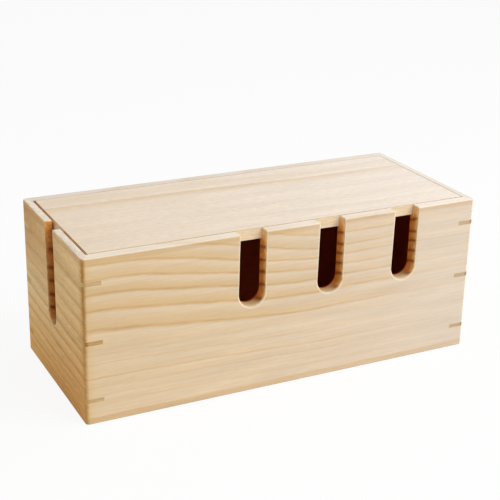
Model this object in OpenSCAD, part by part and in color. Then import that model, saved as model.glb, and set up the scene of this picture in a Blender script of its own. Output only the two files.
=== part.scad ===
// Cable management box: keyed mitred case with a drop-in lid.
// Millimetres. +X runs along the front to the right, +Y to the back, +Z up.
// The origin is at the middle of the footprint, on the surface that the box stands on.

/* [Case] */
// Length of the case, outside
case_l = 400; // [300:1:600]
// Depth of the case, outside, front to back
case_d = 170; // [140:1:260]
// Height of the case, outside
case_h = 156; // [130:1:220]
// Thickness of the four wall boards
wall_t = 14; // [13.5:0.5:20]
// Radius of the four upright outer corners
corner_r = 3.5; // [2.6:0.1:5]
// Radius of the eased top and bottom outer edges
edge_r = 1.2; // [0.5:0.1:3.4]

/* [Lid and its seat] */
// Thickness of the lid, which is also how deep its seat is cut into the walls
lid_t = 10.5; // [6:0.5:14]
// Width of wall left in front of the lid and behind it, at the top edge
lip_long = 10; // [8:0.25:12]
// Width of wall left at each end of the lid, at the top edge
lip_end = 7; // [5.5:0.25:12]
// Gap between the lid and the front lip
lid_gap_front = 1.2; // [0.3:0.1:2]
// Gap between the lid and the back lip
lid_gap_back = 0.4; // [0.3:0.1:1.5]
// Gap between the lid and the right-hand lip
lid_gap_right = 0.5; // [0.3:0.1:2]
// Gap between the lid and the left-hand lip
lid_gap_left = 2.5; // [0.3:0.1:3]
// Radius of the lid's upright corners
lid_corner_r = 1; // [0.8:0.1:3]
// Radius of the lid's eased edges
lid_edge_r = 0.4; // [0.3:0.1:0.8]

/* [Cable slots] */
// Width of a front slot
front_slot_w = 26.5; // [16:0.5:36]
// Depth of the front slots, from the top edge to the lowest point
front_slot_depth = 71; // [40:1:90]
// Distance from the right-hand end of the case to the middle of the nearest front slot
front_slot_inset = 78; // [50:1:110]
// Distance from one front slot to the next
front_slot_pitch = 81; // [60:1:95]
// Number of front slots
front_slot_count = 3; // [1:1:3]
// Width of the slot in the left-hand end
end_slot_w = 23; // [16:0.5:36]
// Depth of that slot, from the top edge to the lowest point
end_slot_depth = 96; // [40:1:105]
// Distance of that slot behind the middle of the end wall
end_slot_offset = 4.5; // [-10:0.5:10]
// Radius of the eased outer edge of a slot
slot_edge_r = 2; // [0.5:0.1:3]

/* [Bottom panel] */
// Thickness of the bottom panel
panel_t = 6; // [4:0.5:9]
// Height of the panel's underside above the surface that the box stands on
panel_rise = 6; // [5:0.5:10]
// Depth of the groove that holds the panel's edge
groove_depth = 6; // [4:0.5:7]
// Clearance of the panel in its groove, above it and at its edge
groove_clear = 0.2; // [0.1:0.05:0.5]

/* [Corner keys] */
// Thickness of a corner key
key_t = 4; // [2:0.5:6]
// Length of a key along each face, from the corner
key_leg = 17; // [12:0.5:19]
// Distance of the highest key below the top edge, and of the lowest above the bottom edge
key_inset = 23; // [23:0.5:36]

/* [Hidden] */
$fn = 64;

// Colours of the woods
pine = "burlywood";
pine_end = "tan";
pine_lid = "wheat";
key_wood = "peru";
panel_wood = "sandybrown";

// How far a cutter runs past the face that it cuts
over = 1;
seat_z = case_h - lid_t;
// Step from the middle key to the highest and the lowest
key_step = case_h / 2 - key_inset;
// Middles of the front slots along X
front_slots = [
    for (i = [front_slot_count - 1 : -1 : 0]) case_l / 2 - front_slot_inset - i * front_slot_pitch
];
// Names for the ends of a range: which side of the case a corner or a key is on
left = -1;
right = 1;
front = -1;
back = 1;
low = -1;
mid = 0;
high = 1;

// ---------- easing of edges ----------

// What a rounding of radius r takes off a square edge. The edge runs up Z from the
// origin, and the solid is in the quadrant +X +Y.
module round_off(r, length) {
    difference() {
        translate([-over, -over, 0])
            cube([r + over, r + over, length]);
        translate([r, r, -over])
            cylinder(r = r, h = length + 2 * over);
    }
}

// The same where a top edge turns an upright corner. The corner's axis is Z, the edge
// is at Z = 0, and the quarter turn is in the quadrant -X -Y.
module round_off_turn(corner, edge) {
    rotate([0, 0, 180])
        rotate_extrude(angle = 90)
            translate([corner - edge, -edge])
                difference() {
                    square([edge + over, edge + over]);
                    circle(edge);
                }
}

// Easing of one outer face of a block and its upright corners. The face is at Y = 0,
// centred along X, from Z = 0 to Z = height, and the solid is on the +Y side.
module ease_face(length, height, corner, edge) {
    run = length - 2 * corner;
    for (end = [0, 1])
        mirror([end, 0, 0])
            translate([-length / 2, 0, -over])
                round_off(corner, height + 2 * over);
    for (level = [0, 1])
        translate([0, 0, level * height])
            mirror([0, 0, 1 - level]) {
                translate([run / 2, 0, 0])
                    rotate([-90, 0, 90])
                        round_off(edge, run);
                for (end = [0, 1])
                    mirror([end, 0, 0])
                        translate([-run / 2, corner, 0])
                            round_off_turn(corner, edge);
            }
}

// Places what is drawn for a face at Y = 0 on side 0, 1, 2 or 3 of a block of plan
// l by d: the front, the right-hand end, the back and the left-hand end.
module on_side(side, l, d) {
    rotate([0, 0, 90 * side])
        translate([0, -(side % 2 == 0 ? d : l) / 2, 0])
            children();
}

// ---------- cutters for the walls ----------

// A U-shaped slot cut from the top edge of a wall at X = 0, with its eased outer edge
module u_slot(width, depth) {
    slot_r = width / 2;
    centre_z = case_h - depth + slot_r;
    rise = case_h - centre_z + over;
    translate([0, 0, centre_z])
        rotate([-90, 0, 0]) {
            translate([0, 0, -over])
                cylinder(r = slot_r, h = wall_t + 2 * over);
            rotate_extrude(angle = 180)
                translate([slot_r, 0])
                    difference() {
                        translate([-over, -over])
                            square([slot_edge_r + over, slot_edge_r + over]);
                        translate([slot_edge_r, slot_edge_r])
                            circle(slot_edge_r);
                    }
        }
    translate([-slot_r, -over, centre_z])
        cube([width, wall_t + 2 * over, rise]);
    for (side = [0, 1])
        mirror([side, 0, 0])
            translate([slot_r, 0, centre_z])
                round_off(slot_edge_r, rise);
}

// The seat that the lid drops into, cut square across all four walls
module lid_seat() {
    seat_l = case_l - 2 * lip_end;
    seat_d = case_d - 2 * lip_long;
    translate([-seat_l / 2, -seat_d / 2, seat_z])
        cube([seat_l, seat_d, lid_t + over]);
}

// The space that the bottom panel's edge fills in the walls
module panel_groove() {
    groove_l = case_l - 2 * (wall_t - groove_depth);
    groove_d = case_d - 2 * (wall_t - groove_depth);
    translate([-groove_l / 2, -groove_d / 2, panel_rise])
        cube([groove_l, groove_d, panel_t + groove_clear]);
}

// Places what is drawn for a corner at the origin, with the case in the quadrant
// +X +Y, on one of the four corners of the case.
module at_corner(side_x, side_y) {
    translate([side_x * case_l / 2, side_y * case_d / 2, 0])
        mirror([side_x == right ? 1 : 0, 0, 0])
            mirror([0, side_y == back ? 1 : 0, 0])
                children();
}

// The triangle that a key fills across a corner, lengthened past both faces by extra
module key_triangle(level, extra) {
    translate([0, 0, case_h / 2 + level * key_step - key_t / 2])
        linear_extrude(key_t)
            polygon([[-extra, -extra], [key_leg + extra, -extra], [-extra, key_leg + extra]]);
}

// The saw cuts that take the keys of all four corners
module key_kerfs() {
    for (side_x = [left, right])
        for (side_y = [front, back])
            at_corner(side_x, side_y)
                for (level = [low, mid, high])
                    key_triangle(level, over);
}

// ---------- walls ----------

// A mitred board with slots, in its own frame: its outer face is at Y = 0.
module mitred_board(length, slot_places, slot_width, slot_depth) {
    half = length / 2;
    difference() {
        linear_extrude(case_h)
            polygon([[-half, 0], [half, 0], [half - wall_t, wall_t], [-half + wall_t, wall_t]]);
        ease_face(length, case_h, corner_r, edge_r);
        for (place = slot_places)
            translate([place, 0, 0])
                u_slot(slot_width, slot_depth);
    }
}

// A board on its side of the case, with the seat, the groove and the kerfs cut in it
module wall(side, slot_places = [], slot_width = 0, slot_depth = 0) {
    difference() {
        on_side(side, case_l, case_d)
            mitred_board(side % 2 == 0 ? case_l : case_d, slot_places, slot_width, slot_depth);
        lid_seat();
        panel_groove();
        key_kerfs();
    }
}

module front_wall() {
    color(pine)
        wall(0, front_slots, front_slot_w, front_slot_depth);
}

module right_end_wall() {
    color(pine_end)
        wall(1);
}

module back_wall() {
    color(pine)
        wall(2);
}

module left_end_wall() {
    color(pine_end)
        wall(3, [-end_slot_offset], end_slot_w, end_slot_depth);
}

// ---------- bottom, keys and lid ----------

module bottom_panel() {
    panel_l = case_l - 2 * (wall_t - groove_depth + groove_clear);
    panel_d = case_d - 2 * (wall_t - groove_depth + groove_clear);
    color(panel_wood)
        translate([-panel_l / 2, -panel_d / 2, panel_rise])
            cube([panel_l, panel_d, panel_t]);
}

module corner_key(side_x, side_y, level) {
    color(key_wood)
        at_corner(side_x, side_y)
            difference() {
                key_triangle(level, 0);
                round_off(corner_r, case_h);
            }
}

module lid() {
    lid_l = case_l - 2 * lip_end - lid_gap_left - lid_gap_right;
    lid_d = case_d - 2 * lip_long - lid_gap_front - lid_gap_back;
    color(pine_lid)
        translate([(lid_gap_left - lid_gap_right) / 2, (lid_gap_front - lid_gap_back) / 2, seat_z])
            difference() {
                translate([-lid_l / 2, -lid_d / 2, 0])
                    cube([lid_l, lid_d, lid_t]);
                for (side = [0 : 3])
                    on_side(side, lid_l, lid_d)
                        ease_face(side % 2 == 0 ? lid_l : lid_d, lid_t, lid_corner_r, lid_edge_r);
            }
}

front_wall();
back_wall();
left_end_wall();
right_end_wall();
bottom_panel();
lid();
corner_key(left, front, low);  // corner_key_front_left_low
corner_key(left, front, mid);  // corner_key_front_left_mid
corner_key(left, front, high);  // corner_key_front_left_high
corner_key(right, front, low);  // corner_key_front_right_low
corner_key(right, front, mid);  // corner_key_front_right_mid
corner_key(right, front, high);  // corner_key_front_right_high
corner_key(left, back, low);  // corner_key_back_left_low
corner_key(left, back, mid);  // corner_key_back_left_mid
corner_key(left, back, high);  // corner_key_back_left_high
corner_key(right, back, low);  // corner_key_back_right_low
corner_key(right, back, mid);  // corner_key_back_right_mid
corner_key(right, back, high);  // corner_key_back_right_high
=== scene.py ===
"""Cable management box: a keyed, mitred pine case with a drop-in pine lid.

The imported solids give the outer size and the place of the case, the bottom panel and the lid.
The four wall boards, the twelve corner keys, the panel and the lid are built again here with
eased arrises, and each is dressed in wood that runs through the whole piece: growth rings on
the faces, dark end grain where a cut crosses them.
"""

import logging
import math
from dataclasses import dataclass, replace
from enum import Enum
from typing import Iterable, Sequence

import bmesh
import bpy
from mathutils import Matrix, Vector


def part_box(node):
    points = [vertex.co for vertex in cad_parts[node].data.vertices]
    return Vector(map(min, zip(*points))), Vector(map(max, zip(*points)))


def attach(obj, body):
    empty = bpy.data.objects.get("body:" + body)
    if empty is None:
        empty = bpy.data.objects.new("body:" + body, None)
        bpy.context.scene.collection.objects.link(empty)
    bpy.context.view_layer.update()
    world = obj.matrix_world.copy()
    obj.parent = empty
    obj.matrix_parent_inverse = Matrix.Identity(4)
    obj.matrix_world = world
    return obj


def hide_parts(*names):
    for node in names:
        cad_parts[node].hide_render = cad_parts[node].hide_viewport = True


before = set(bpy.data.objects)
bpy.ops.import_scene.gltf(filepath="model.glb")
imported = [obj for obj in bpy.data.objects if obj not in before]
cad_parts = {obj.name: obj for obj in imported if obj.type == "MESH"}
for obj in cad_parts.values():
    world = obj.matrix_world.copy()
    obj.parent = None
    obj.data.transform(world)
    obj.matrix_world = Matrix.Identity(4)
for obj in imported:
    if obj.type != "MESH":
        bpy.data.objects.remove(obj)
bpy.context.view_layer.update()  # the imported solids, each in its place

LOG = logging.getLogger("cable_box")
MM = 0.001  # a millimetre, as the scene is in metres
OVER = 2 * MM  # how far a cutter runs past the face that it cuts
NEAR = 0.02 * MM  # how close two places are that count as one
HAIR = 1e-7  # how close a point is to a saw cut that counts as in it
CORNER_STEPS = 6  # facets round an upright corner
EDGE_STEPS = 4  # facets round an eased edge
RIM_STEPS = 3  # facets round a slot's edge at the top
SLOT_STEPS = 48  # sides of the circle that a slot's foot is half of
FLAT = math.radians(50)  # edges sharper than this stay sharp to the eye
SHARP = 0.3  # edges sharper than this, in radians, are eased
UP = Vector((0, 0, 1))

Pairs = tuple[tuple[float, float], ...]
Colour = tuple[float, float, float, float]
Feed = dict[int | str, object] | tuple[object, ...]
Socket = bpy.types.NodeSocket
Finish = bpy.types.Material
Owner = Finish | bpy.types.World
Piece = bpy.types.Object
Form = bmesh.types.BMesh
Edge = bmesh.types.BMEdge

BLEND = {"out": 2, "data_type": "RGBA"}  # makes a mix node blend two colours
SMOOTH = {"interpolation_type": "SMOOTHSTEP"}  # makes a range set in and end gently
WHITE = "#FFFFFF"


# ---------- finishes ----------


class Grain(Enum):
    """How a board lies: the axes of its length, its thickness and its width."""

    FRONT = "XYZ"
    END = "YXZ"
    LID = "XZY"


def colour(code: str) -> Colour:
    """Turns an sRGB colour into the linear one that a socket takes.

    Args:
        code: the colour as six hex digits after a #.

    Returns:
        Red, green, blue and alpha.
    """
    parts = (int(code[i : i + 2], 16) / 255 for i in (1, 3, 5))
    linear = (c / 12.92 if c <= 0.04045 else ((c + 0.055) / 1.055) ** 2.4 for c in parts)
    return (*linear, 1.0)


class Recipe:
    """A finish, or the light from all round, while its nodes are being laid out."""

    def __init__(self, owner: Owner, end: str = "OutputMaterial") -> None:
        """Starts an empty tree that ends in a shader.

        Args:
            owner: what the nodes belong to.
            end: the kind of its last node.
        """
        self.owner = owner
        owner.use_nodes = True
        self.tree = owner.node_tree
        self.tree.nodes.clear()
        self.end = self.tree.nodes.new(f"ShaderNode{end}")

    def add(
        self, kind: str, feeds: Feed, out: int = 0, line: Pairs = (), bent: bool = False, **settings: object
    ) -> Socket:
        """Adds a node with its settings and links.

        Args:
            kind: the node's type name, and after a colon its operation.
            feeds: for each input in order, or by number or name, a socket to link, a value to
                set or a colour's hex code.
            out: the number of the output that is wanted.
            line: for a curve, its points in order, each number from 0 to 1.
            bent: whether that curve bends through its points and does not run straight.
            settings: the node's own properties.

        Returns:
            That output.
        """
        kind, _, operation = kind.partition(":")
        node = self.tree.nodes.new(f"ShaderNode{kind}")
        if operation:
            node.operation = operation
        for key, value in settings.items():
            setattr(node, key, value)
        if line:
            points = node.mapping.curves[0].points
            points[0].location, points[-1].location = line[0], line[-1]
            for place in line[1:-1]:
                points.new(*place)
            for point in points:
                point.handle_type = "AUTO_CLAMPED" if bent else "VECTOR"
            node.mapping.update()
        for key, value in feeds.items() if isinstance(feeds, dict) else enumerate(feeds):
            if isinstance(value, Socket):
                self.tree.links.new(value, node.inputs[key])
            else:
                node.inputs[key].default_value = colour(value) if isinstance(value, str) else value
        return node.outputs[out]

    def spot(self) -> Socket:
        """Gives a point's place in the frame, in millimetres."""
        return self.add("VectorMath:MULTIPLY", (self.add("TexCoord", (), out=3), (1 / MM,) * 3))

    def finish(self, shader: Socket) -> Owner:
        """Links the shader to the last node and hands the owner over."""
        self.tree.links.new(shader, self.end.inputs["Surface"])
        return self.owner


@dataclass(frozen=True)
class Tones:
    """Colours of one pine board, as hex codes.

    Attributes:
        pale, pale_far: wood between rings, at the board's two ends. On the front and the lid
            the right-hand end is paler and greyer, partly painted light.
        ochre, late: wood above a ring, and its dark line.
        crown, crown_far: the top edge, at the board's two ends: a paler, greyer tone that is painted sheen.
        worn_and_highlit: rounded edges, sanded through to fresh wood and paler still as a painted
            highlight.
        gap_shadow: the rounded top edges along the front and the back, darker as painted shadow of the gaps
            beside them, empty if they are no darker.
        cut, cut_rim, cut_late: end grain, partly painted shade in the slots; the same near the outer face,
            paler as painted light; and its rings.
        foot: faces that look up inside a slot, away from the outer face: darker and warmer, painted shade
            with warm bounce light.
        waist, waist_far: what pale turns to half-way down, empty for no change.
        low, low_far: what that turns to towards the bottom edge. On the shaded left end both are
            painted shade and light down the face.
        arris, glow: the rounded mitre, where end grain comes through, and the wood beside
            it, empty for none.
        inside, inside_late: the dark red-brown of the inner faces, and its rings, empty for none.
    """

    pale: str
    pale_far: str
    ochre: str
    late: str
    crown: str
    crown_far: str
    worn_and_highlit: str
    cut: str
    cut_rim: str
    cut_late: str
    gap_shadow: str = ""
    foot: str = ""
    waist: str = ""
    waist_far: str = ""
    low: str = ""
    low_far: str = ""
    arris: str = ""
    glow: str = ""
    inside: str = ""
    inside_late: str = ""


@dataclass(frozen=True)
class PineBoard:
    """Planed and sanded softwood with a matt clear oil, sawn from one plank.

    Lengths are in millimetres. A ring is a thin dark line of late wood with ochre above it
    that pales upwards, as a flat-sawn face shows.

    Attributes:
        name: the material's name.
        grain: how the board lies.
        span: the board's length.
        face: how far its outer face is from the frame's origin.
        foot: the lowest width coordinate that the ring table covers.
        rings: each ring line's height at the board's left end and at its right end, and its
            strength, 0 to 1.
        lean: places along the board, 0 to 1, and how far the rings have gone there from one
            height to the other.
        fade: places along the board, 0 to 1, and how bold the rings are there.
        tones: its colours.
        hub: the width coordinate where the rings lean first.
        lag: how much further along, as a share of the length, they lean for each millimetre
            away from the hub.
        heel: height of the darker band along the bottom edge, 0 for none. With it goes a
            fainter band of painted shade just below the top edge.
        streaks, clouds, flecks: how strongly each kind of unevenness shows.
        shadow: how strong the ochre is from a ring line to the next, as points of a curve.
        line: the same for a ring's dark line.
        crown_rings: how bold the rings stay on the top edge.
        bare: how much of the rounded edges' sanded colour and painted highlight stays where they face up, 0
            to 1.
        shift: moves the figure, so that no two boards are alike.
    """

    name: str
    grain: Grain
    span: float
    face: float
    foot: float
    rings: tuple[tuple[float, float, float], ...]
    lean: Pairs
    fade: Pairs
    tones: Tones
    hub: float = 85.0
    lag: float = 0.0
    heel: float = 0.0
    streaks: float = 0.24
    clouds: float = 0.21
    flecks: float = 0.16
    shadow: Pairs = (
        (0, 1), (0.1, 0.86), (0.28, 0.72), (0.48, 0.48), (0.66, 0.14), (0.84, 0), (0.92, 0.3), (1, 1)
    )
    line: Pairs = ((0, 1), (0.09, 0), (0.82, 0), (0.94, 0.65), (1, 1))
    crown_rings: float = 0.3
    bare: float = 0.0
    shift: float = 0.0

    def material(self) -> Finish:
        """Lays out the wood in a material that reads Object coordinates."""
        return PineRecipe(self).wood()


class PineRecipe(Recipe):
    """The wood of one board while its nodes are being laid out.

    The sockets hold lengths in millimetres and shares from 0 to 1.

    Attributes:
        plank: the board's own numbers.
        board: length, thickness and width coordinates of a point together.
        wide: the width coordinate.
        depth: how far in from the outer face the point lies.
        share: how far along the board.
        height: how far above the surface that the case stands on.
        corner: how far into a rounded upright corner of the case.
        seam: the same for the corner at the board's left-hand end alone.
        crown: how much of the top edge's colour, painted sheen, shows.
        side: how squarely the surface faces left or right.
        left: how squarely it faces the board's left end, -1 to 1.
        up: how squarely it faces up.
        flat: how squarely it faces along any axis: less than 1 on a rounded edge.
        streak, fleck, cloud, mottle: unevenness in long streaks, short fibres, broad patches and
            patches that show on end grain, each spread about 0, mostly -0.25 to 0.25.
        level: the point's height among the growth rings.
        ochre: how much of the tone above a ring shows.
        late: how much of a ring's dark line shows.
        stripe: how much of its wider stripe shows on end grain.
    """

    TABLE = 200.0  # widths that the ring table covers
    DIP = 0.3  # how far a ring drops for each unit of depth into the board
    INNER = 13.7  # depth at which the dark colour on the inner face starts
    MITRE = (280.3, 281.9)  # X plus Y where the rounded mitre starts and is full
    TOP = (147.0, 150.5)  # heights between which the top edge's colour, painted sheen, sets in
    UNDER_TOP_SHADE = (149.5, 152.5)  # heights between which the faces darken just below the top edge, painted shade
    FOOT = (2.0, 8.0)  # depths between which the bottom of a slot takes its painted shade and warm bounce light
    TOE = (12.0, 20.0)  # heights between which the rounded edges start to take their sanded colour and painted highlight
    HEEL = 0.9  # the width over which the darker band along the bottom edge fades out
    UPPER = (130.0, 75.0)  # heights between which pale turns to the waist's tone
    LOWER = (75.0, 15.0)  # heights between which that turns to the low one
    GLOW = (10.0, 3.0)  # distances from the left-hand end between which the glow sets in
    RIM = (7.0, 0.5)  # depths between which end grain pales towards the outer face, painted light at a slot's opening
    HEART = 3.5  # depth from which end grain shows its rings in full
    BROW = (143.0, 155.0)  # heights between which it pales towards the top edge, painted light at a slot's top
    # How strong a ring's stripe on end grain is from that ring to the next
    STRIPE = ((0, 1), (0.06, 0.6), (0.18, 0.15), (0.4, 0), (0.74, 0.1), (0.9, 0.7), (1, 1))
    # The mitre's brown line as the surface turns to the side, and from the foot to 200 mm up
    TURNED = ((0, 0.05), (0.2, 0.3), (0.42, 0.6), (0.6, 1), (0.8, 1), (0.92, 0.55), (1, 0.1))
    RISING = ((0, 0.6), (0.3, 0.6), (0.42, 0.9), (0.74, 1), (0.78, 0.5), (1, 0))

    def __init__(self, plank: PineBoard) -> None:
        """Starts the material and works out the sockets.

        Args:
            plank: the board's own numbers.
        """
        super().__init__(bpy.data.materials.new(plank.name))
        self.plank = plank
        self.find_place()
        # Streaks 1.6 mm wide and 70 mm long, and flecks 0.6 mm wide and 8 mm long. Real
        # fibres are a tenth of that and would not show.
        self.streak = self.noise((70, 5, 1.6), 3.0)
        self.fleck = self.noise((8, 1.5, 0.6), 2.0)
        self.cloud = self.noise((95, 20, 11), 2.0)
        self.mottle = self.noise((60, 4, 3.5), 2.0)
        self.count_rings()

    def wood(self) -> Finish:
        """Lays out colour, roughness and relief.

        Returns:
            The finished material.
        """
        plank, tones = self.plank, self.plank.tones
        wood = self.long_grain()
        if tones.arris:
            wood = self.add("Mix", {0: self.mitre(), 6: wood, 7: tones.arris}, **BLEND)
        wood = self.end_grain(wood)
        tint: Socket | float = 1.0
        uneven = (self.streak, plank.streaks), (self.cloud, plank.clouds), (self.fleck, plank.flecks)
        for figure, strength in uneven:
            tint = self.add("Math:MULTIPLY_ADD", (figure, strength, tint))
        wood = self.add("VectorMath:SCALE", {0: wood, "Scale": tint})
        if tones.inside:
            wood = self.darkened_inside(wood)

        # Late wood stands a few hundredths of a millimetre proud, and fibres leave fine furrows.
        relief = self.add("Math:MULTIPLY_ADD", (self.late, 0.5, self.fleck))
        bump = self.add("Bump", {"Strength": 0.25, "Distance": 0.05 * MM, "Height": relief})
        rough = self.add("MapRange", (self.fleck, -0.5, 0.5, 0.5, 0.62))
        sheen = {"Roughness": rough, "Specular IOR Level": 0.35, "Normal": bump}
        return self.finish(self.add("BsdfPrincipled", {"Base Color": wood, **sheen}))

    def find_place(self) -> None:
        """Works out where on the board a point lies and how its surface faces."""
        spot = self.spot()
        axes = self.add("SeparateXYZ", (spot,)).node.outputs
        order = tuple("XYZ".index(axis) for axis in self.plank.grain.value)
        along, deep, self.wide = (axes[i] for i in order)
        self.board = self.add("CombineXYZ", (along, deep, self.wide))
        self.height = axes[2]
        half = self.plank.span / 2
        self.share = self.add("MapRange", (along, -half, half))
        size = self.add("VectorMath:ABSOLUTE", (spot,))
        size = self.add("SeparateXYZ", (size,)).node.outputs
        self.depth = self.add("Math:SUBTRACT", (self.plank.face, size[order[1]]))
        reach = self.add("Math:ADD", (size[0], size[1]))
        self.corner = self.add("MapRange", (reach, *self.MITRE), **SMOOTH)
        first = self.add("Math:LESS_THAN", (self.share, 0.5))
        self.seam = self.add("Math:MULTIPLY", (self.corner, first))

        facing = self.add("TexCoord", (), out=1)
        signed = self.add("SeparateXYZ", (facing,)).node.outputs
        plain = self.add("VectorMath:ABSOLUTE", (facing,))
        plain = self.add("SeparateXYZ", (plain,)).node.outputs
        self.side = plain[0]
        self.left = self.add("Math:MULTIPLY", (signed[order[0]], -1.0))
        self.up = self.add("Math:MAXIMUM", (signed[2], 0.0))
        self.flat = plain[0]
        for other in plain[1:]:
            self.flat = self.add("Math:MAXIMUM", (self.flat, other))
        level = self.add("MapRange", (self.up, 0.35, 0.85), **SMOOTH)
        top = self.add("MapRange", (self.height, *self.TOP))
        self.crown = self.add("Math:MULTIPLY", (level, top))

    def count_rings(self) -> None:
        """Counts the growth rings up the board and draws their lines."""
        plank = self.plank
        # Slow waves, a wave about 45 mm long, and ripples about 9 mm long, bend the rings.
        level = self.wide
        waves, ripples = self.noise((45, 30, 22), 1.0), self.noise((9, 8, 6), 2.0)
        for bend, strength in ((waves, 2.4), (ripples, 1.3), (self.depth, self.DIP)):
            level = self.add("Math:MULTIPLY_ADD", (bend, strength, level))
        off = self.add("Math:SUBTRACT", (level, plank.hub))
        off = self.add("Math:ABSOLUTE", (off,))
        behind = self.add("Math:MULTIPLY_ADD", (off, -plank.lag, self.share), use_clamp=True)
        gone = self.add("FloatCurve", {"Value": behind}, line=plank.lean, bent=True)

        # Each ring takes one step of the count, so its fraction runs from line to line.
        table = self.add("MapRange", (level, plank.foot, plank.foot + self.TABLE))
        total = len(plank.rings) + 1
        ends = []
        for end in (0, 1):
            heights = [(row[end] - plank.foot) / self.TABLE for row in plank.rings]
            steps = [(height, i / total) for i, height in enumerate(heights, 1)]
            ends.append(self.add("FloatCurve", {"Value": table}, line=((0.0, 0.0), *steps, (1.0, 1.0))))
        count = self.add("Mix", {0: gone, 2: ends[0], 3: ends[1]})
        bold = [(i / total, row[2]) for i, row in enumerate(plank.rings, 1)]
        bold = ((0.0, plank.rings[0][2]), *bold, (1.0, plank.rings[-1][2]))
        bold = self.add("FloatCurve", {"Value": count}, line=bold)
        count = self.add("Math:MULTIPLY", (count, float(total)))
        turn = self.add("Math:FRACT", (count,))
        ring = self.add("Math:FLOOR", (count,))
        luck = self.add("TexWhiteNoise", {"W": ring}, noise_dimensions="1D")
        luck = self.add("MapRange", (luck, 0.0, 1.0, 0.8, 1.15))
        calm = self.add("MapRange", (self.crown, 0.0, 1.0, 1.0, plank.crown_rings))
        for share in (luck, calm):
            bold = self.add("Math:MULTIPLY", (bold, share))
        cross = self.add("Math:MULTIPLY", (bold, 1.5), use_clamp=True)
        fade = self.add("FloatCurve", {"Value": self.share}, line=plank.fade, bent=True)
        bold = self.add("Math:MULTIPLY", (bold, fade))

        # The lines come and go along the board.
        uneven = self.add("Math:MULTIPLY_ADD", (self.streak, 0.9, 1.0))
        patchy = self.add("MapRange", (self.noise((32, 12, 5), 2.0), -0.2, 0.2, 0.45, 1.1))
        strengths = [self.add("Math:MULTIPLY", (bold, share)) for share in (uneven, patchy)]
        drawn = []
        for line, strength in zip((plank.shadow, plank.line, self.STRIPE), (*strengths, cross)):
            shown = self.add("FloatCurve", {"Value": turn}, line=line)
            drawn.append(self.add("Math:MULTIPLY", (shown, strength), use_clamp=True))
        self.level = level
        self.ochre, self.late, self.stripe = drawn

    def long_grain(self) -> Socket:
        """Colours the faces and edges that run with the grain, coat on coat.

        Returns:
            The colour.
        """
        plank, tones = self.plank, self.plank.tones
        coats: list[tuple[Socket, Socket | str]] = [(self.share, tones.pale_far)]
        # On the shaded left end the tone changes down the face as painted shade and light.
        if tones.waist:
            for tone, far, heights in (
                (tones.waist, tones.waist_far, self.UPPER), (tones.low, tones.low_far, self.LOWER)
            ):
                tone = self.add("Mix", {0: self.share, 6: tone, 7: far}, **BLEND)
                coats.append((self.add("MapRange", (self.height, *heights)), tone))
        if tones.glow:
            start, full = (distance / plank.span for distance in self.GLOW)
            coats.append((self.add("MapRange", (self.share, start, full, 0.0, 0.8)), tones.glow))
        # The top edges take a paler, greyer tone: painted sheen.
        crown = self.add("Mix", {0: self.share, 6: tones.crown, 7: tones.crown_far}, **BLEND)
        coats.append((self.crown, crown))
        # Faces that look up inside a slot are darker and warmer: painted shade with warm bounce light.
        if tones.foot:
            deep = self.add("MapRange", (self.depth, *self.FOOT))
            level = self.add("MapRange", (self.up, 0.3, 0.7))
            below = self.add("Math:SUBTRACT", (1.0, self.crown))
            for share in (level, below):
                deep = self.add("Math:MULTIPLY", (deep, share))
            coats.append((deep, tones.foot))
        coats += [(self.ochre, tones.ochre), (self.late, tones.late)]
        if plank.heel:
            full = self.add("MapRange", (self.share, 0.0, 1.0, 0.52, 0.36))
            band = self.add("MapRange", (self.level, plank.heel, plank.heel - self.HEEL, 0.0, full))
            # Just below the top edge the faces darken: painted shade.
            under_top_shade = self.add("MapRange", (self.crown, 0.0, 1.0, 0.42, 0.0))
            under_top_shade = self.add("MapRange", (self.height, *self.UNDER_TOP_SHADE, 0.0, under_top_shade))
            coats += [(band, tones.late), (under_top_shade, tones.late)]
        # Rounded edges take a paler colour: sanded wood, with a painted highlight where they catch the
        # light.
        worn_and_highlit = self.add("MapRange", (self.flat, 0.99, 0.9, 0.0, 0.95))
        bare = self.add("MapRange", (self.up, 0.15, 0.6, 1.0, plank.bare))
        held = self.add("Math:SUBTRACT", (1.0, self.seam))
        high = self.add("MapRange", (self.height, *self.TOE))
        for share in (bare, held, high):
            worn_and_highlit = self.add("Math:MULTIPLY", (worn_and_highlit, share))
        # The lid's long rounded top edges are darker: painted shadow of the gaps beside them.
        ahead = self.add("MapRange", (self.side, 0.0, 0.5, 1.0, 0.0))
        ahead = self.add("Math:MULTIPLY", (ahead, self.add("MapRange", (self.up, 0.05, 0.3))))
        edge = self.add("Mix", {0: ahead, 6: tones.worn_and_highlit, 7: tones.gap_shadow or tones.worn_and_highlit}, **BLEND)
        wood: Socket | str = tones.pale
        for share, tone in (*coats, (worn_and_highlit, edge)):
            wood = self.add("Mix", {0: share, 6: wood, 7: tone}, **BLEND)
        return wood

    def end_grain(self, wood: Socket) -> Socket:
        """Colours the cuts across the grain, which soak up more oil and show the rings as stripes.

        Their deep orange is partly painted shade in the slots, and they pale as painted light towards
        the outer face and the top edge.

        Args:
            wood: the colour of the other faces.

        Returns:
            The colour of all of them.
        """
        tones = self.plank.tones
        near = self.add("MapRange", (self.left, 0.25, 0.8), **SMOOTH)
        far = self.add("MapRange", (self.left, -0.72, -0.96), **SMOOTH)
        across = self.add("Math:MAXIMUM", (near, far))
        held = self.add("Math:SUBTRACT", (1.0, self.corner))
        below = self.add("MapRange", (self.crown, 0.0, 0.4, 1.0, 0.0))
        for share in (held, below):
            across = self.add("Math:MULTIPLY", (across, share))
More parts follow.
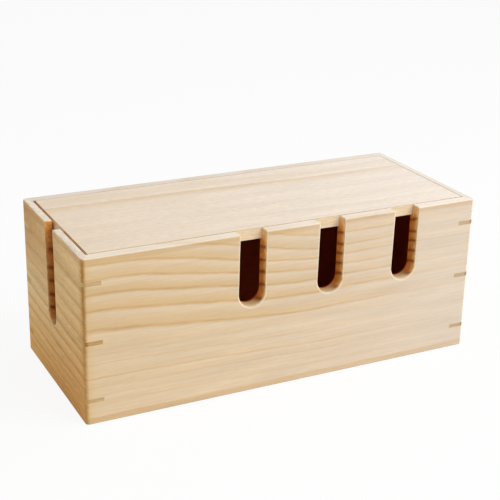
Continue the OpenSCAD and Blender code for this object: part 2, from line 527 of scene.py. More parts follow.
        # End grain pales towards the outer face and the top edge: painted light where the slot opens.
        rim = self.add("MapRange", (self.depth, *self.RIM))
        brow = self.add("MapRange", (self.height, *self.BROW))
        raised = self.add("Math:MULTIPLY", (brow, 0.6))
        rim = self.add("Math:MAXIMUM", (rim, raised))
        cut = self.add("Mix", {0: rim, 6: tones.cut, 7: tones.cut_rim}, **BLEND)
        stripe = self.stripe
        whole = self.add("MapRange", (self.depth, self.RIM[1], self.HEART))
        plain = self.add("MapRange", (brow, 0.0, 0.5, 1.0, 0.0))
        for share in (whole, plain):
            stripe = self.add("Math:MULTIPLY", (stripe, share))
        cut = self.add("Mix", {0: stripe, 6: cut, 7: tones.cut_late}, **BLEND)
        tint = self.add("Math:MULTIPLY_ADD", (self.mottle, 0.8, 1.0))
        cut = self.add("VectorMath:SCALE", {0: cut, "Scale": tint})
        return self.add("Mix", {0: across, 6: wood, 7: cut}, **BLEND)

    def darkened_inside(self, wood: Socket) -> Socket:
        """Darkens the inner face to a red-brown. The dark colour laps a little over edges that look up.

        Args:
            wood: the colour of the other faces.

        Returns:
            The colour of all of them.
        """
        tones = self.plank.tones
        lap = self.add("Math:MULTIPLY_ADD", (self.up, 1.6, self.depth))
        lap = self.add("Math:MULTIPLY_ADD", (self.streak, 0.4, lap))
        within = self.add("MapRange", (lap, self.INNER - 0.2, self.INNER + 0.1))
        stain = self.add("Mix", {0: self.late, 6: tones.inside, 7: tones.inside_late}, **BLEND)
        return self.add("Mix", {0: within, 6: wood, 7: stain}, **BLEND)

    def mitre(self) -> Socket:
        """Finds the rounded mitre, where end grain comes through as a brown line.

        Returns:
            How much of the line's colour shows, 0 to 1.
        """
        up = self.add("MapRange", (self.height, 0.0, 200.0))
        shown = self.seam
        for value, line in ((self.side, self.TURNED), (up, self.RISING)):
            curve = self.add("FloatCurve", {"Value": value}, line=line, bent=True)
            shown = self.add("Math:MULTIPLY", (shown, curve))
        uneven = self.add("Math:MULTIPLY_ADD", (self.mottle, 1.6, 0.9))
        return self.add("Math:MULTIPLY", (shown, uneven), use_clamp=True)

    def noise(self, size: tuple[float, float, float], detail: float) -> Socket:
        """Adds a noise that is stretched along the board.

        Args:
            size: the size of one patch along the board's length, thickness and width.
            detail: how many finer layers it has.

        Returns:
            A value spread about 0, mostly from -0.25 to 0.25.
        """
        spot = self.add("VectorMath:ADD", (self.board, (self.plank.shift,) * 3))
        spot = self.add("VectorMath:MULTIPLY", (spot, tuple(1 / s for s in size)))
        value = self.add("TexNoise", {"Vector": spot, "Scale": 1.0, "Detail": detail})
        return self.add("Math:SUBTRACT", (value, 0.5))


@dataclass(frozen=True)
class KeyWood:
    """Closer-grained hardwood slips, sanded flush: warm tan with fine streaks.

    Attributes:
        name: the material's name.
        middle_tone: the left-hand middle key on the long faces.
        outer_tone: the same for the keys above and below it.
        right_tone: all right-hand keys on the long faces.
        end_high, end_low: keys on the end faces, at the top and the bottom, close to the shaded left end's
            tones and darker lower down as painted shade.
        tip, tip_outer, tip_right: the corner of a slip, where it is cut across, on the
            left-hand middle key, on the keys above and below it, and at the right.
        middle: height of the middle keys, in millimetres.
        contrast: how strongly the streaks show.
    """

    name: str = "oiled_hardwood_key"
    middle_tone: str = "#C19962"
    outer_tone: str = "#CAAA7A"
    right_tone: str = "#C4A780"
    end_high: str = "#E6BF7C"
    end_low: str = "#D6A254"
    tip: str = "#AC7A3C"
    tip_outer: str = "#CDA060"
    tip_right: str = "#A08C6A"
    middle: float = 78.0
    contrast: float = 0.7

    AWAY = (10.0, 30.0)  # distances from the middle keys between which the outer tone sets in
    RISE = (20.0, 136.0)  # heights between which the end faces go from their low tone to the high, painted shade
    TIP = (280.3, 282.0)  # X plus Y where a slip's cut tip starts and is full

    def material(self) -> Finish:
        """Lays out the wood, the same way round at all four corners.

        Returns:
            The finished material, which reads Object coordinates.
        """
        r = Recipe(bpy.data.materials.new(self.name))
        spot = r.spot()
        signed = r.add("SeparateXYZ", (spot,)).node.outputs
        right = r.add("Math:GREATER_THAN", (signed[0], 0.0))
        spot = r.add("VectorMath:ABSOLUTE", (spot,))
        axes = r.add("SeparateXYZ", (spot,)).node.outputs
        away = r.add("Math:SUBTRACT", (axes[2], self.middle))
        away = r.add("Math:ABSOLUTE", (away,))
        outer = r.add("MapRange", (away, *self.AWAY))
        wood, tip = self.middle_tone, self.tip
        for share, tone, tip_tone in (
            (outer, self.outer_tone, self.tip_outer), (right, self.right_tone, self.tip_right)
        ):
            wood = r.add("Mix", {0: share, 6: wood, 7: tone}, **BLEND)
            tip = r.add("Mix", {0: share, 6: tip, 7: tip_tone}, **BLEND)
        facing = r.add("TexCoord", (), out=1)
        facing = r.add("VectorMath:ABSOLUTE", (facing,))
        facing = r.add("SeparateXYZ", (facing,)).node.outputs[0]
        # On the end faces the keys take the shaded left end's tones, with its painted shade lower down.
        ends = r.add("MapRange", (facing, 0.5, 0.95, 0.0, 0.9))
        high = r.add("MapRange", (axes[2], *self.RISE))
        high = r.add("Mix", {0: high, 6: self.end_low, 7: self.end_high}, **BLEND)
        wood = r.add("Mix", {0: ends, 6: wood, 7: high}, **BLEND)

        # Streaks 0.9 mm wide and 12 mm long lie along both faces of the slip.
        fine = r.add("VectorMath:MULTIPLY", (spot, (1 / 12, 1 / 12, 1 / 0.9)))
        streak = r.add("TexNoise", {"Vector": fine, "Scale": 1.0, "Detail": 3.0})
        uneven = r.add("Math:SUBTRACT", (streak, 0.5))
        uneven = r.add("Math:MULTIPLY_ADD", (uneven, self.contrast, 1.0))
        wood = r.add("VectorMath:SCALE", {0: wood, "Scale": uneven})
        reach = r.add("Math:ADD", (axes[0], axes[1]))
        edge = r.add("MapRange", (reach, *self.TIP))
        ahead = r.add("MapRange", (facing, 0.6, 0.9, 1.0, 0.25))
        edge = r.add("Math:MULTIPLY", (edge, ahead))
        wood = r.add("Mix", {0: edge, 6: wood, 7: tip}, **BLEND)
        bump = r.add("Bump", {"Strength": 0.3, "Distance": 0.05 * MM, "Height": streak})
        sheen = {"Roughness": 0.55, "Specular IOR Level": 0.35, "Normal": bump}
        return r.finish(r.add("BsdfPrincipled", {"Base Color": wood, **sheen}))


@dataclass(frozen=True)
class Plywood:
    """Unfinished birch plywood: pale face with broad soft figure, dark glue lines at the edge.

    Attributes:
        name: the material's name.
        face, figure: colours of the face and of its figure.
        glue: the colour of the glue lines.
        ply: thickness of one ply, in millimetres.
    """

    name: str = "birch_plywood"
    face: str = "#E2CBA4"
    figure: str = "#CDAF82"
    glue: str = "#6B4A2A"
    ply: float = 2.0

    def material(self) -> Finish:
        """Lays out the veneers.

        Returns:
            The finished material, which reads Object coordinates.
        """
        r = Recipe(bpy.data.materials.new(self.name))
        spot = r.spot()

        # The figure is in patches 90 mm long, 14 mm wide and a ply thick.
        broad = r.add("VectorMath:MULTIPLY", (spot, (1 / 90, 1 / 14, 1 / self.ply)))
        figure = r.add("TexNoise", {"Vector": broad, "Scale": 1.0, "Detail": 4.0})
        wood = r.add("MapRange", (figure, 0.35, 0.62))
        wood = r.add("Mix", {0: wood, 6: self.figure, 7: self.face}, **BLEND)
        height = r.add("SeparateXYZ", (spot,)).node.outputs[2]
        plies = r.add("Math:PINGPONG", (height, self.ply))
        seam = r.add("MapRange", (plies, 0.0, 0.25, 1.0, 0.0))
        facing = r.add("TexCoord", (), out=1)
        facing = r.add("SeparateXYZ", (facing,)).node.outputs[2]
        facing = r.add("Math:ABSOLUTE", (facing,))
        edge = r.add("Math:LESS_THAN", (facing, 0.5))
        seam = r.add("Math:MULTIPLY", (seam, edge))
        wood = r.add("Mix", {0: seam, 6: wood, 7: self.glue}, **BLEND)
        bump = r.add("Bump", {"Strength": 0.2, "Distance": 0.05 * MM, "Height": figure})
        sheen = {"Roughness": 0.7, "Specular IOR Level": 0.3, "Normal": bump}
        return r.finish(r.add("BsdfPrincipled", {"Base Color": wood, **sheen}))


# The far tones are paler and greyer than the near ones, partly painted light from the soft box on the
# right.
FRONT_TONES = Tones(
    pale="#E5CCA7",
    pale_far="#E0CFBB",
    ochre="#DBB883",
    late="#CFA770",
    crown="#F1E3D0",
    crown_far="#F1E6D9",
    worn_and_highlit="#FBECD6",
    cut="#E8943F",
    cut_rim="#FFE0A4",
    cut_late="#94521A",
    foot="#DEBE86",
    arris="#B6823E",
    glow="#E4C28C",
    inside="#B8481C",
    inside_late="#A43E18",
)
# The left end is in shade: these tones are a more orange, saturated copy of the same pine, painted shade;
# the right end takes the front's tones.
SHADED_END_TONES = Tones(
    pale="#FDDA9A",
    pale_far="#D3A15A",
    ochre="#D8A45C",
    late="#B87A2C",
    crown="#E9DDCB",
    crown_far="#E9DDCB",
    worn_and_highlit="#F8DDA8",
    cut="#CE781E",
    cut_rim="#DCA05A",
    cut_late="#7E2E06",
    foot="#D9A860",
    waist="#EEC37C",
    waist_far="#FEDC9F",
    low="#E0A053",
    low_far="#FDC973",
    arris="#B6823E",
    glow="#DCA450",
    inside="#B8481C",
    inside_late="#A43E18",
)
# As on the front, the far tones are paler and greyer, partly painted light.
LID_TONES = Tones(
    pale="#EBD5B0",
    pale_far="#EED9B8",
    ochre="#DFC298",
    late="#DEC49C",
    crown="#EBD8C1",
    crown_far="#F2E6D9",
    worn_and_highlit="#FFF2DC",
    gap_shadow="#BE9C70",
    # The lid's end grain is kept as pale as its faces: painted light against the shade in the narrow gaps
    # at its ends.
    cut="#F0D0A4",
    cut_rim="#F0D0A4",
    cut_late="#B98A54",
)
FRONT_PINE = PineBoard(
    name="flat_sawn_pine_front",
    grain=Grain.FRONT,
    span=400,
    face=85,
    foot=-4,
    rings=(
        (20, 15.8, 0.2), (26.8, 21.4, 0.2), (35, 28.7, 0.28), (44, 37, 0.5), (57, 49.3, 0.26),
        (65.5, 61.5, 0.2), (90.3, 71.2, 0.8), (108.3, 89.1, 0.95), (123.3, 101.6, 0.95),
        (136.6, 112, 0.8), (150, 122.2, 0.85), (162, 131.4, 0.85), (175, 143.3, 0.8), (187, 154.6, 0.7),
    ),
    lean=(
        (0, 0), (0.0625, 0.06), (0.125, 0.15), (0.1875, 0.27), (0.25, 0.41), (0.3125, 0.56),
        (0.355, 0.67), (0.4625, 0.92), (0.53, 1), (0.75, 0.97), (0.84, 1), (1, 0.98),
    ),
    fade=((0, 1), (0.3, 1), (0.55, 0.76), (0.76, 0.48), (0.85, 0.2), (1, 0.16)),
    tones=FRONT_TONES,
    lag=0.0014,
    heel=6.8,
)
END_PINE = PineBoard(
    name="flat_sawn_pine_end_shaded",
    grain=Grain.END,
    span=170,
    face=200,
    foot=-4,
    rings=(
        (3, 2.8, 0.8), (7.2, 7.5, 0.75), (11.8, 11.6, 0.75), (19.6, 20, 0.8), (24.8, 25.8, 0.5),
        (33.6, 35.2, 0.8), (44.8, 48.8, 0.95), (57.3, 61.5, 0.8), (69.3, 75.5, 0.9), (82.2, 88, 0.65),
        (97.6, 102, 0.58), (109.8, 114.4, 0.64), (127.8, 131.3, 0.68), (153.8, 150.2, 0.52),
        (172, 168, 0.5),
    ),
    lean=((0, 0), (1, 1)),
    fade=((0, 1), (0.3, 0.8), (1, 0.55)),
    tones=SHADED_END_TONES,
    streaks=0.5,
    bare=0.4,
    clouds=0.28,
    flecks=0.75,
    shadow=(
        (0, 0.9), (0.14, 0.72), (0.3, 0.52), (0.5, 0.3), (0.7, 0.1), (0.82, 0.12), (0.92, 0.45), (1, 0.9),
    ),
    line=((0, 0.8), (0.12, 0.25), (0.22, 0), (0.72, 0), (0.9, 0.4), (1, 0.8)),
)
LID_PINE = PineBoard(
    name="quarter_sawn_pine_lid",
    grain=Grain.LID,
    span=400,
    face=156,
    foot=-95,
    rings=(
        (-62, -68, 0.1), (-38, -50, 0.2), (-10, -18, 0.08), (20, 12, 0.1), (47, 38, 0.85), (66, 60, 0.15),
        (92, 92, 0.1),
    ),
    lean=((0, 0), (0.4, 0.2), (0.5, 0.45), (0.8, 1), (1, 1)),
    fade=((0, 0.9), (0.5, 1), (0.85, 0.8), (1, 0.5)),
    tones=LID_TONES,
    hub=0.0,
    streaks=0.2,
    clouds=0.18,
    flecks=0.55,
    shadow=((0, 1), (0.03, 0), (0.25, 0.05), (0.45, 0.4), (0.65, 0.75), (0.85, 1), (1, 1)),
    line=((0, 0.7), (0.06, 0), (0.86, 0), (0.95, 0.3), (1, 0.7)),
    bare=1.0,
    crown_rings=1.0,
)
BACK_PINE = replace(
    FRONT_PINE,
    name="flat_sawn_pine_back",
    tones=replace(FRONT_TONES, crown="#E2D6C7", crown_far="#EBE0D4", arris="", glow=""),
    shift=137.0,
)
RIGHT_PINE = replace(
    END_PINE,
    name="flat_sawn_pine_right",
    lean=((0, 1), (1, 0)),
    tones=replace(FRONT_TONES, crown="#ECE3D8", crown_far="#ECE3D8", arris="", glow=""),
    streaks=0.24,
    clouds=0.21,
    flecks=0.16,
    shift=71.0,
)


# ---------- shapes ----------


def body(name: str, form: Form) -> Piece:
    """Makes an object of a bmesh and frees it.

    Args:
        name: the object's name.
        form: its shape, in the frame's own coordinates.

    Returns:
        The object, in the scene.
    """
    bmesh.ops.recalc_face_normals(form, faces=form.faces)
    mesh = bpy.data.meshes.new(name)
    form.to_mesh(mesh)
    form.free()
    piece = bpy.data.objects.new(name, mesh)
    bpy.context.scene.collection.objects.link(piece)
    return piece


def settle(piece: Piece) -> None:
    """Applies a piece's modifiers to its mesh.

    Args:
        piece: the piece.
    """
    shaped = piece.evaluated_get(bpy.context.evaluated_depsgraph_get())
    mesh = bpy.data.meshes.new_from_object(shaped)
    piece.modifiers.clear()
    mesh.name = piece.name
    piece.data = mesh


def carve(piece: Piece, cutters: Iterable[Piece]) -> None:
    """Cuts the cutters out of a piece and removes them.

    Args:
        piece: the piece.
        cutters: the solids that are cut out of it.
    """
    tools = list(cutters)
    for tool in tools:
        cut = piece.modifiers.new(tool.name, "BOOLEAN")
        cut.operation = "DIFFERENCE"
        cut.solver = "EXACT"
        cut.object = tool
    settle(piece)
    for tool in tools:
        bpy.data.objects.remove(tool)


def smooth(piece: Piece) -> None:
    """Shades the eased edges round while the flat faces stay flat.

    Args:
        piece: the piece.
    """
    piece.data.shade_smooth()
    piece.data.set_sharp_from_angle(angle=FLAT)
    weigh = piece.modifiers.new("flat_faces", "WEIGHTED_NORMAL")
    weigh.keep_sharp = True
    settle(piece)


def block(low: Vector, high: Vector) -> Form:
    """Makes a square-edged block.

    Args:
        low: its lowest corner.
        high: its highest corner.

    Returns:
        The block.
    """
    form = bmesh.new()
    bmesh.ops.create_cube(form, size=1.0)
    bmesh.ops.scale(form, vec=high - low, verts=form.verts)
    bmesh.ops.translate(form, vec=(high + low) / 2, verts=form.verts)
    return form


def ease(form: Form, edges: Iterable[Edge], radius: float, steps: int) -> None:
    """Rounds some edges over.

    Args:
        form: the solid.
        edges: the edges.
        radius: how far the rounding reaches on each face.
        steps: how many facets it has.
    """
    bmesh.ops.bevel(
        form,
        geom=list(edges),
        offset=radius,
        offset_type="OFFSET",
        segments=steps,
        profile=0.5,
        affect="EDGES",
        clamp_overlap=False,
        material=-1,
    )


def eased_block(low: Vector, high: Vector, corner: float, edge: float) -> Form:
    """Makes a block with rounded upright corners and eased top and bottom edges.

    Args:
        low: its lowest corner.
        high: its highest corner.
        corner: radius of the upright corners.
        edge: radius of the other edges.

    Returns:
        The block. Its corners have a line of points at 45 degrees, where a mitre can run.
    """
    form = block(low, high)
    upright = [e for e in form.edges if abs(e.verts[0].co.z - e.verts[1].co.z) > NEAR]
    ease(form, upright, corner, CORNER_STEPS)
    ends = (low.z, high.z)
    rim = [e for e in form.edges if any(all(abs(v.co.z - z) < NEAR for v in e.verts) for z in ends)]
    ease(form, rim, edge, EDGE_STEPS)
    return form


def saw(form: Form, place: Vector, away: Vector) -> None:
    """Saws a solid along a plane, drops what lies on one side and closes the cut.

    Args:
        form: the solid.
        place: a point of the plane.
        away: the way to the side that drops off.
    """
    geom = [*form.verts, *form.edges, *form.faces]
    cut = bmesh.ops.bisect_plane(
        form, geom=geom, dist=HAIR, plane_co=place, plane_no=away, clear_outer=True
    )
    rim = [e for e in cut["geom_cut"] if isinstance(e, Edge)]
    bmesh.ops.contextual_create(form, geom=rim)


@dataclass
class Slot:
    """A U-shaped cable slot, cut down from the top edge of a wall.

    Attributes:
        place: the slot's middle, from the middle of the wall, towards the wall's right.
        depth: from the top edge to the lowest point.
        width: from jamb to jamb.
    """

    place: float
    depth: float
    width: float = 26.5 * MM


@dataclass
class Case:
    """The four mitred and keyed wall boards.

    Attributes:
        low, high: the corners of the case's box.
        wall: thickness of a board.
        corner: radius of the upright corners.
        edge: radius of the top and bottom edges.
        lip_long, lip_end: width of the wall left beside the lid.
        seat: height of the seat that the lid rests on.
        groove: lowest and highest point of the groove for the bottom panel.
        groove_depth: how deep that groove is.
        arris: radius of the slots' edges on the outer face.
        rim: the same on the top edge.
        key_t: thickness of a corner key.
        key_leg: length of a key along each face.
        key_inset: distance of the outer keys from the top and bottom edges.
        front_slots, end_slots: the slots in the front and in the left-hand end.
    """

    low: Vector
    high: Vector
    wall: float = 14 * MM
    corner: float = 3.5 * MM
    edge: float = 1.2 * MM
    lip_long: float = 10 * MM
    lip_end: float = 7 * MM
    seat: float = 145.5 * MM
    groove: tuple[float, float] = (6 * MM, 12.2 * MM)
    groove_depth: float = 6 * MM
    arris: float = 2 * MM
    rim: float = 1.1 * MM
    key_t: float = 4 * MM
    key_leg: float = 17 * MM
    key_inset: float = 23 * MM
    front_slots: tuple[Slot, ...] = (
        Slot(-40 * MM, 71 * MM),
        Slot(41 * MM, 71 * MM),
        Slot(122 * MM, 71 * MM),
    )
    end_slots: tuple[Slot, ...] = (Slot(-4.5 * MM, 96 * MM, 23 * MM),)

    # For each wall board: quarter turns from the front, its wood, and the solid that it stands for
    SIDES = {
        "front_board": (0, FRONT_PINE, "front_wall"),
        "right_board": (1, RIGHT_PINE, "right_end_wall"),
        "back_board": (2, BACK_PINE, "back_wall"),
        "left_board": (3, END_PINE, "left_end_wall"),
    }
    # For each corner: -1 for left and 1 for right, then -1 for front and 1 for back
    CORNERS = {"front_left": (-1, -1), "front_right": (1, -1), "back_left": (-1, 1), "back_right": (1, 1)}

    def build(self) -> None:
        """Builds and dresses the boards and the keys."""
        key_finish = KeyWood().material()
        for name, (quarter, wood, node) in self.SIDES.items():
            slots = {0: self.front_slots, 3: self.end_slots}.get(quarter, ())
            piece = self.board(name, quarter, slots)
            dress(piece, wood.material(), "case", node)
        for corner, (side_x, side_y) in self.CORNERS.items():
            for level, height in self.levels().items():
                piece = body(f"key_{corner}_{level}", self.key(side_x, side_y, height, 0.0))
                smooth(piece)
                dress(piece, key_finish, "case", f"corner_key_{corner}_{level}")

    def levels(self) -> dict[str, float]:
        """Gives the heights of the keys' middles by name."""
        top = self.high.z
        return {"low": self.key_inset, "mid": top / 2, "high": top - self.key_inset}

    def board(self, name: str, quarter: int, slots: Sequence[Slot]) -> Piece:
        """Builds one wall board.

        Args:
            name: its name.
            quarter: quarter turns from the front.
            slots: the slots that are cut in it.

        Returns:
            The board.
        """
        turn = Matrix.Rotation(quarter * math.pi / 2, 3, "Z")
        outward, right = turn @ Vector((0, -1, 0)), turn @ Vector((1, 0, 0))
        half = self.high if quarter % 2 == 0 else self.high.yxz
        form = eased_block(self.low, self.high, self.corner, self.edge)
        saw(form, outward * (half.y - self.wall), -outward)
        for side in (-right, right):
            saw(form, outward * half.y + side * half.x, side - outward)
        piece = body(name, form)
        inset = self.wall - self.groove_depth
        tools = [
            self.hollow("seat", self.lip_end, self.lip_long, self.seat, self.high.z + OVER),
            self.hollow("groove", inset, inset, *self.groove),
        ]
        for side_x, side_y in sorted(self.CORNERS.values()):
            for height in self.levels().values():
                tools.append(body("kerf", self.key(side_x, side_y, height, OVER)))
        for slot in slots:
            tools.append(self.slot_cutter(slot, turn, outward * half.y, right))
        carve(piece, tools)
        if slots:
            self.ease_slots(piece, slots, outward, right, half)
        smooth(piece)
        return piece

    def hollow(self, name: str, end: float, side: float, low: float, high: float) -> Piece:
        """Makes a cutter for a square recess inside the case.

        Args:
            name: its name.
            end: how far it stays from the left and right faces.
            side: how far it stays from the front and back faces.
            low: its lowest height.
            high: its highest height.

        Returns:
            The cutter.
        """
        reach = Vector((self.high.x - end, self.high.y - side, 0))
        return body(name, block(-reach + UP * low, reach + UP * high))

    def key(self, side_x: int, side_y: int, height: float, extra: float) -> Form:
        """Makes a key's triangular slip across a corner.

        Args:
            side_x: -1 for the left-hand end, 1 for the right.
            side_y: -1 for the front, 1 for the back.
            height: its middle.
            extra: how far it runs past both faces, 0 for the key itself.

        Returns:
            The slip, flush with the rounded corner if extra is 0.
        """
        form = bmesh.new()
        leg = self.key_leg + 2 * extra
        tip = form.verts.new((0, 0, 0))
        face = form.faces.new((tip, form.verts.new((leg, 0, 0)), form.verts.new((0, leg, 0))))
        up = bmesh.ops.extrude_face_region(form, geom=[face])["geom"]
        risen = [v for v in up if isinstance(v, bmesh.types.BMVert)]
        bmesh.ops.translate(form, vec=UP * self.key_t, verts=risen)
        if not extra:
            upright = [e for e in form.edges if all(v.co.xy.length < NEAR for v in e.verts)]
            ease(form, upright, self.corner, CORNER_STEPS)
        bmesh.ops.translate(form, vec=(-extra, -extra, height - self.key_t / 2), verts=form.verts)
        bmesh.ops.scale(form, vec=(-side_x, -side_y, 1), verts=form.verts)
        bmesh.ops.translate(form, vec=(side_x * self.high.x, side_y * self.high.y, 0), verts=form.verts)
        return form

    def slot_cutter(self, slot: Slot, turn: Matrix, face: Vector, right: Vector) -> Piece:
        """Makes the cutter for one slot.

        Args:
            slot: the slot.
            turn: the turn from the front wall to this one.
            face: the middle of the wall's outer face.
            right: the wall's right-hand direction.

        Returns:
            The cutter: a bar with a half-round foot that reaches out of the top edge.
        """
        form = bmesh.new()
        radius = slot.width / 2 / math.cos(math.pi / SLOT_STEPS)
        bmesh.ops.create_circle(form, cap_ends=True, segments=SLOT_STEPS, radius=radius)
        bmesh.ops.rotate(form, matrix=Matrix.Rotation(math.pi / SLOT_STEPS, 3, "Z"), verts=form.verts)
        bmesh.ops.rotate(form, matrix=Matrix.Rotation(math.pi / 2, 3, "X"), verts=form.verts)
        bmesh.ops.translate(form, vec=UP * slot.depth, verts=[v for v in form.verts if v.co.z > 0])
        through = bmesh.ops.extrude_face_region(form, geom=form.faces[:])["geom"]
        moved = [v for v in through if isinstance(v, bmesh.types.BMVert)]
        bmesh.ops.translate(form, vec=(0, self.wall + 2 * OVER, 0), verts=moved)
        foot = self.high.z - slot.depth + slot.width / 2
        bmesh.ops.translate(form, vec=(0, -OVER, foot), verts=form.verts)
        bmesh.ops.rotate(form, matrix=turn, verts=form.verts)
        bmesh.ops.translate(form, vec=face + right * slot.place, verts=form.verts)
        return body("slot", form)

    def ease_slots(
        self, piece: Piece, slots: Sequence[Slot], outward: Vector, right: Vector, half: Vector
    ) -> None:
        """Eases the edges of the slots on the outer face and the top edge.

        Args:
            piece: the board.
            slots: its slots.
            outward: the way that its outer face looks.
            right: its right-hand direction.
            half: half its length, and how far its face is from the middle.
        """
        form = bmesh.new()
        form.from_mesh(piece.data)
        lip = half.y - self.lip_width(half)

        def of_slot(edge: Edge) -> bool:
            """Tells whether an edge bounds a slot.

            Args:
                edge: the edge.

            Returns:
                Whether it lies in a slot's foot or runs along one of its jambs.
            """
            middle = (edge.verts[0].co + edge.verts[1].co) / 2
            place = middle.dot(right)
            for slot in slots:
                foot = self.high.z - slot.depth
                if abs(place - slot.place) < slot.width / 2 + NEAR and middle.z > foot - NEAR:
                    level = all(abs(v.co.dot(right) - place) < NEAR for v in edge.verts)
                    if level or middle.z < foot + slot.width / 2 + NEAR:
                        return True
            return False

        def outer(edge: Edge) -> bool:
            """Tells whether an edge lies in the outer face."""
            return all(v.co.dot(outward) > half.y - NEAR for v in edge.verts)

        def topmost(edge: Edge) -> bool:
            """Tells whether an edge lies in the top edge and reaches past the lid's seat."""
            level = all(v.co.z > self.high.z - NEAR for v in edge.verts)
            return level and any(v.co.dot(outward) > lip + NEAR for v in edge.verts)

        for chosen, radius, steps in ((outer, self.arris, EDGE_STEPS), (topmost, self.rim, RIM_STEPS)):
            sharp = [e for e in form.edges if e.is_manifold and e.calc_face_angle() > SHARP and of_slot(e)]
            ease(form, [e for e in sharp if chosen(e)], radius, steps)
        form.to_mesh(piece.data)
        form.free()

    def lip_width(self, half: Vector) -> float:
        """Gives the width of wall beside the lid on the wall with that half size."""
        return self.lip_long if half.y < half.x else self.lip_end


@dataclass
class Lid:
    """The lid, one board that drops in flush with the wall tops.

    Attributes:
        low, high: its corners.
        corner: radius of its upright corners.
        edge: radius of its other edges.
    """

    low: Vector
    high: Vector
    corner: float = 1.0 * MM
    edge: float = 0.4 * MM

    def build(self) -> None:
        """Builds and dresses the lid."""
        piece = body("lid_board", eased_block(self.low, self.high, self.corner, self.edge))
        smooth(piece)
        dress(piece, LID_PINE.material(), "lid", "lid")


@dataclass
class BottomPanel:
    """The plywood bottom, held in the walls' grooves.

    Attributes:
        low, high: its corners.
        edge: radius of its sanded edges.
    """

    low: Vector
    high: Vector
    edge: float = 0.3 * MM

    def build(self) -> None:
        """Builds and dresses the panel."""
        piece = body("bottom_board", eased_block(self.low, self.high, self.edge, self.edge))
        smooth(piece)
        dress(piece, Plywood().material(), "case", "bottom_panel")


def dress(piece: Piece, finish: Finish, part: str, node: str) -> None:
    """Gives a piece its finish and its body, and hides the solid that it stands for.

    Args:
        piece: the piece.
        finish: its material.
        part: the body that it moves with.
        node: the solid that it stands for.
    """
    piece.data.materials.clear()
    piece.data.materials.append(finish)
    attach(piece, part)
    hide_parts(node)
    LOG.info("%s: %d faces, for %s", piece.name, len(piece.data.polygons), node)


# ---------- studio ----------


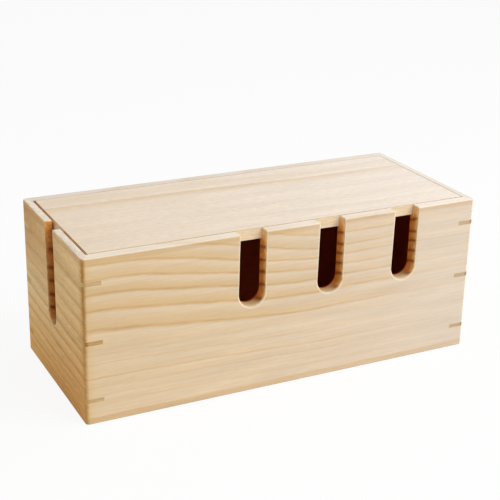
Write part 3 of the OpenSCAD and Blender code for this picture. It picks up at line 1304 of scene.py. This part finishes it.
@dataclass
class Studio:
    """Plain pale floor, white surroundings, soft light from above and the front right.

    Attributes:
        azimuth, elevation, roll: how the camera looks, in degrees.
        distance: from the frame's origin to the camera along its view.
        aside, above: how far the view's middle passes the origin.
        lens, sensor: focal length and the sensor's width, in millimetres.
        reach: the least and the greatest distance that the camera sees.
        sky: strength of the light from all round.
        key: power of the soft box, in watts.
        box: length of its side.
        box_place, box_aim: its middle, and the point that it shines at.
        ground: half the length of the floor's side.
        glow: how much of the floor's white shows whatever light falls on it, 0 to 1.
    """

    azimuth: float = -27.102
    elevation: float = 21.403
    roll: float = 1.366
    distance: float = 1.175259
    aside: float = 0.001999
    above: float = 0.096106
    lens: float = 84.094
    sensor: float = 36.0
    reach: tuple[float, float] = (0.05, 50.0)
    sky: float = 0.52
    key: float = 28.0
    box: float = 1.6
    box_place: tuple[float, float, float] = (0.95, -0.95, 1.55)
    box_aim: tuple[float, float, float] = (0.05, 0.0, 0.08)
    ground: float = 3.0
    glow: float = 0.9

    def build(self) -> None:
        """Sets up the camera, the lights, the floor and the surroundings."""
        self.camera()
        self.soft_box()
        self.surroundings()
        self.floor()
        bpy.context.scene.view_settings.view_transform = "Standard"

    def camera(self) -> None:
        """Places the camera."""
        turn, rise, roll = (math.radians(a) for a in (self.azimuth, self.elevation, self.roll))
        right = Vector((math.cos(turn), math.sin(turn), 0))
        back = Vector((math.sin(turn) * math.cos(rise), -math.cos(turn) * math.cos(rise), math.sin(rise)))
        up = back.cross(right)
        level = right * math.cos(roll) + up * math.sin(roll)
        upright = up * math.cos(roll) - right * math.sin(roll)
        data = bpy.data.cameras.new("camera")
        data.sensor_width = self.sensor
        data.lens = self.lens
        data.clip_start, data.clip_end = self.reach
        eye = bpy.data.objects.new("camera", data)
        bpy.context.scene.collection.objects.link(eye)
        place = level * self.aside + upright * self.above + back * self.distance
        eye.matrix_world = Matrix.Translation(place) @ Matrix((level, upright, back)).transposed().to_4x4()
        bpy.context.scene.camera = eye

    def soft_box(self) -> None:
        """Hangs the soft box above the front right of the case."""
        data = bpy.data.lights.new("soft_box", "AREA")
        data.shape = "SQUARE"
        data.size = self.box
        data.energy = self.key
        lamp = bpy.data.objects.new("soft_box", data)
        bpy.context.scene.collection.objects.link(lamp)
        place = Vector(self.box_place)
        aim = Vector(self.box_aim) - place
        lamp.rotation_euler = aim.to_track_quat("-Z", "Y").to_euler()
        lamp.location = place

    def surroundings(self) -> None:
        """Lights from all round, and shows white to the eye and in reflections."""
        r = Recipe(bpy.data.worlds.new("surroundings"), "OutputWorld")
        path = r.add("LightPath", ()).node.outputs
        seen = path["Is Camera Ray"]
        for other in ("Is Glossy Ray", "Is Transmission Ray"):
            seen = r.add("Math:MAXIMUM", (seen, path[other]))
        strength = r.add("MapRange", (seen, 0.0, 1.0, self.sky, 1.0))
        bpy.context.scene.world = r.finish(r.add("Background", {"Color": WHITE, "Strength": strength}))

    def floor(self) -> None:
        """Lays the floor: white to the eye, with a little of the case's shadow."""
        form = bmesh.new()
        bmesh.ops.create_grid(form, x_segments=1, y_segments=1, size=self.ground)
        floor = body("studio_floor", form)
        r = Recipe(bpy.data.materials.new("white_paper_floor"))
        paper = r.add("BsdfDiffuse", {"Color": "#F4F4F4"})
        white = r.add("Emission", {"Color": WHITE, "Strength": 1.0})
        seen = r.add("LightPath", ()).node.outputs["Is Camera Ray"]
        seen = r.add("Math:MULTIPLY", (seen, self.glow))
        floor.data.materials.append(r.finish(r.add("MixShader", (seen, paper, white))))


def span(*nodes: str) -> tuple[Vector, Vector]:
    """Gives the box round some solids.

    Args:
        nodes: their names.

    Returns:
        Its lowest and its highest corner.
    """
    boxes = [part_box(n) for n in nodes]
    low = Vector(min(b[0][i] for b in boxes) for i in range(3))
    high = Vector(max(b[1][i] for b in boxes) for i in range(3))
    return low, high


def main() -> None:
    """Builds the box piece by piece, then the studio."""
    logging.basicConfig(level=logging.INFO, format="%(message)s")
    Case(*span("front_wall", "back_wall", "left_end_wall", "right_end_wall")).build()
    BottomPanel(*span("bottom_panel")).build()
    Lid(*span("lid")).build()
    Studio().build()


if __name__ == "__main__":
    main()
